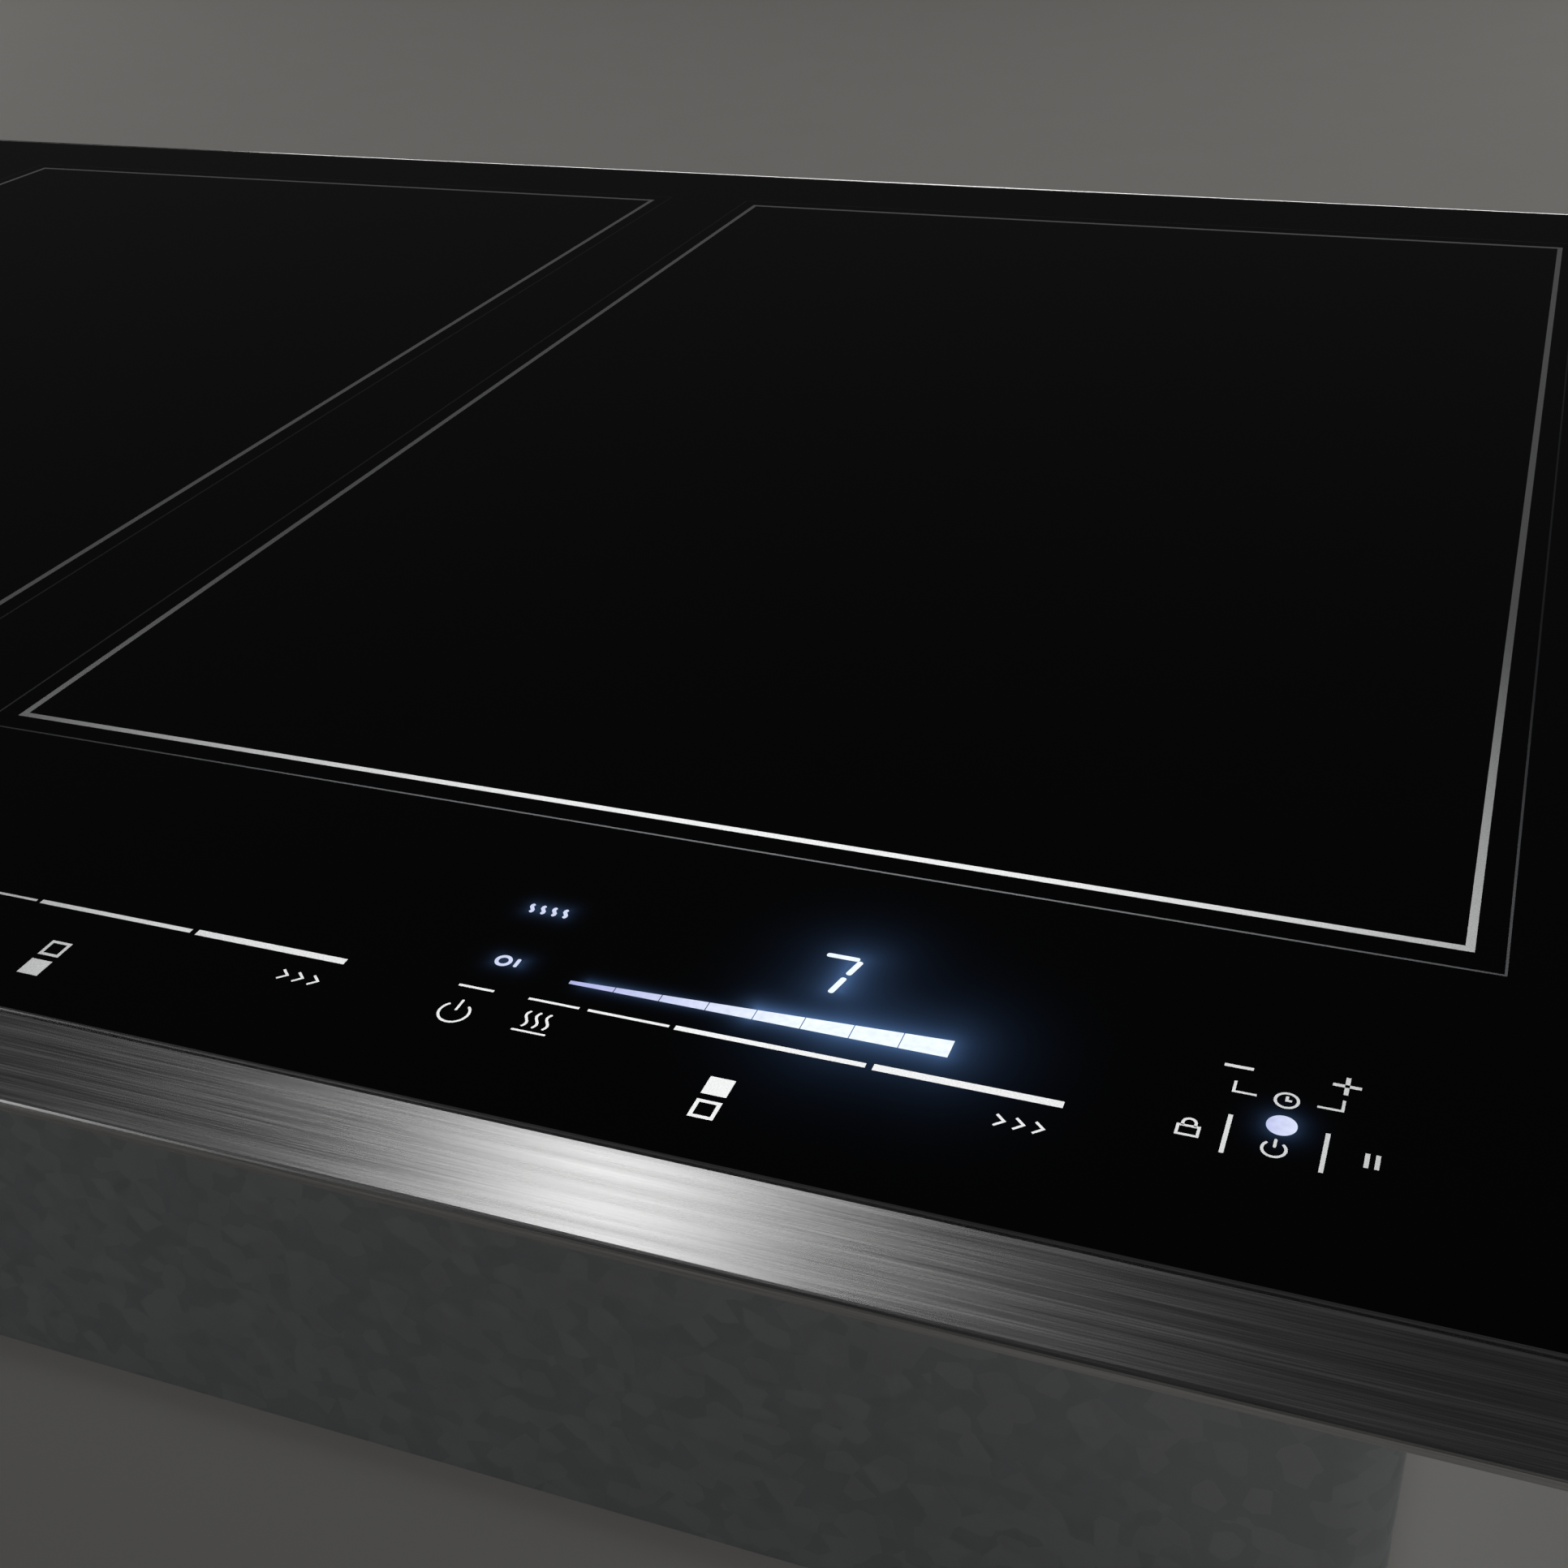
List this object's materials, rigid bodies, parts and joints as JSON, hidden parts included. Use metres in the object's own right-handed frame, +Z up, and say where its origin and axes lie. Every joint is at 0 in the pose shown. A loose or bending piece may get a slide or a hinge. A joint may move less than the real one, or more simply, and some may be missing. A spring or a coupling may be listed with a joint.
{
  "type": "electric induction cooktop",
  "caption": "Built-in induction cooktop: black glass between brushed steel strips over a vented steel burner box with sprung coils and blowers.",
  "frame": {"origin": "centre of the underside, on the plane of the burner box's feet", "axes": "+X to the right as the cook stands, +Y to the rear, +Z up"},
  "size_m": [0.914, 0.533, 0.1022],
  "materials": {
    "ceramic_glass": "polished black ceramic glass",
    "brushed_steel": "brushed along its length",
    "silicone": "matt black silicone",
    "foam_tape": "matt closed-cell foam",
    "galvanised_steel": "galvanised sheet",
    "zinc_steel": "zinc-plated",
    "black_steel": "black powder coat",
    "die_cast": "die-cast zinc",
    "brass_nut": "zinc-plated nut",
    "block_plastic": "moulded phenolic",
    "deck_aluminium": "mill finish sheet",
    "white_plastic": "moulded flame-retardant plastic",
    "green_board": "solder-masked circuit board",
    "clear_guide": "white reflector plastic",
    "touch_foam": "conductive foam",
    "sink_aluminium": "extruded",
    "black_resin": "moulded epoxy",
    "film_capacitor": "epoxy box",
    "copper_wire": "enamelled copper",
    "fan_plastic": "moulded glass-filled plastic",
    "lead_jacket": "silicone-jacketed lead",
    "carrier_plastic": "moulded heat-resistant plastic",
    "litz": "stranded enamelled copper",
    "ferrite": "sintered ferrite",
    "mica": "pressed mica",
    "spring_wire": "stainless spring wire"
  },
  "bodies": {
    "cooktop": {"glass_top": "ceramic_glass", "front_strip": "brushed_steel", "rear_strip": "brushed_steel", "glass_adhesive": "silicone", "counter_seal": "foam_tape", "support_frame": "galvanised_steel", "base_pan": "galvanised_steel", "pan_screws": "zinc_steel", "intake_grilles": "black_steel", "terminal_cover": "galvanised_steel", "cover_screws": "zinc_steel", "conduit_connector": "die_cast", "conduit_locknut": "brass_nut", "terminal_block": "block_plastic", "clamp_brackets": "galvanised_steel", "bracket_screws": "zinc_steel", "coil_deck": "deck_aluminium", "deck_screws": "zinc_steel", "control_tray": "white_plastic", "control_boards": "green_board", "light_guides": "clear_guide", "touch_pads": "touch_foam", "power_boards": "green_board", "heat_sinks": "sink_aluminium", "transistors": "black_resin", "capacitors": "film_capacitor", "chokes": "copper_wire", "filter_board": "green_board", "blower_left_housing": "fan_plastic", "blower_right_housing": "fan_plastic", "wiring": "lead_jacket", "coil_left_front_springs": "spring_wire", "coil_left_rear_springs": "spring_wire", "coil_middle_springs": "spring_wire", "coil_right_front_springs": "spring_wire", "coil_right_rear_springs": "spring_wire"},
    "blower_left": {"blower_left_wheel": "fan_plastic"},
    "blower_right": {"blower_right_wheel": "fan_plastic"},
    "clamp_left": {"clamp_screw_left": "zinc_steel"},
    "clamp_right": {"clamp_screw_right": "zinc_steel"},
    "coil_left_front": {"coil_left_front_carrier": "carrier_plastic", "coil_left_front_winding": "litz", "coil_left_front_ferrites": "ferrite", "coil_left_front_mica": "mica"},
    "coil_left_rear": {"coil_left_rear_carrier": "carrier_plastic", "coil_left_rear_winding": "litz", "coil_left_rear_ferrites": "ferrite", "coil_left_rear_mica": "mica"},
    "coil_middle": {"coil_middle_carrier": "carrier_plastic", "coil_middle_winding": "litz", "coil_middle_ferrites": "ferrite", "coil_middle_mica": "mica"},
    "coil_right_front": {"coil_right_front_carrier": "carrier_plastic", "coil_right_front_winding": "litz", "coil_right_front_ferrites": "ferrite", "coil_right_front_mica": "mica"},
    "coil_right_rear": {"coil_right_rear_carrier": "carrier_plastic", "coil_right_rear_winding": "litz", "coil_right_rear_ferrites": "ferrite", "coil_right_rear_mica": "mica"}
  },
  "joints": [
    {"name": "blower_left_spin", "type": "hinge", "parent": "cooktop", "child": "blower_left", "pos_m": [-0.175, -0.03, 0.02], "axis": [0, 0, 1], "continuous": true},
    {"name": "blower_right_spin", "type": "hinge", "parent": "cooktop", "child": "blower_right", "pos_m": [0.175, -0.03, 0.02], "axis": [0, 0, 1], "continuous": true},
    {"name": "clamp_left_travel", "type": "slide", "parent": "cooktop", "child": "clamp_left", "axis": [0, 0, 1], "range_m": [0, 0.022]},
    {"name": "clamp_right_travel", "type": "slide", "parent": "cooktop", "child": "clamp_right", "axis": [0, 0, 1], "range_m": [0, 0.022]},
    {"name": "coil_left_front_travel", "type": "slide", "parent": "cooktop", "child": "coil_left_front", "axis": [0, 0, 1], "range_m": [-0.004, 0], "stiffness_N_per_m": 500, "springref_m": 0.012, "deforming": ["coil_left_front_springs"]},
    {"name": "coil_left_rear_travel", "type": "slide", "parent": "cooktop", "child": "coil_left_rear", "axis": [0, 0, 1], "range_m": [-0.004, 0], "stiffness_N_per_m": 500, "springref_m": 0.012, "deforming": ["coil_left_rear_springs"]},
    {"name": "coil_middle_travel", "type": "slide", "parent": "cooktop", "child": "coil_middle", "axis": [0, 0, 1], "range_m": [-0.004, 0], "stiffness_N_per_m": 900, "springref_m": 0.012, "deforming": ["coil_middle_springs"]},
    {"name": "coil_right_front_travel", "type": "slide", "parent": "cooktop", "child": "coil_right_front", "axis": [0, 0, 1], "range_m": [-0.004, 0], "stiffness_N_per_m": 500, "springref_m": 0.012, "deforming": ["coil_right_front_springs"]},
    {"name": "coil_right_rear_travel", "type": "slide", "parent": "cooktop", "child": "coil_right_rear", "axis": [0, 0, 1], "range_m": [-0.004, 0], "stiffness_N_per_m": 500, "springref_m": 0.012, "deforming": ["coil_right_rear_springs"]}
  ]
}
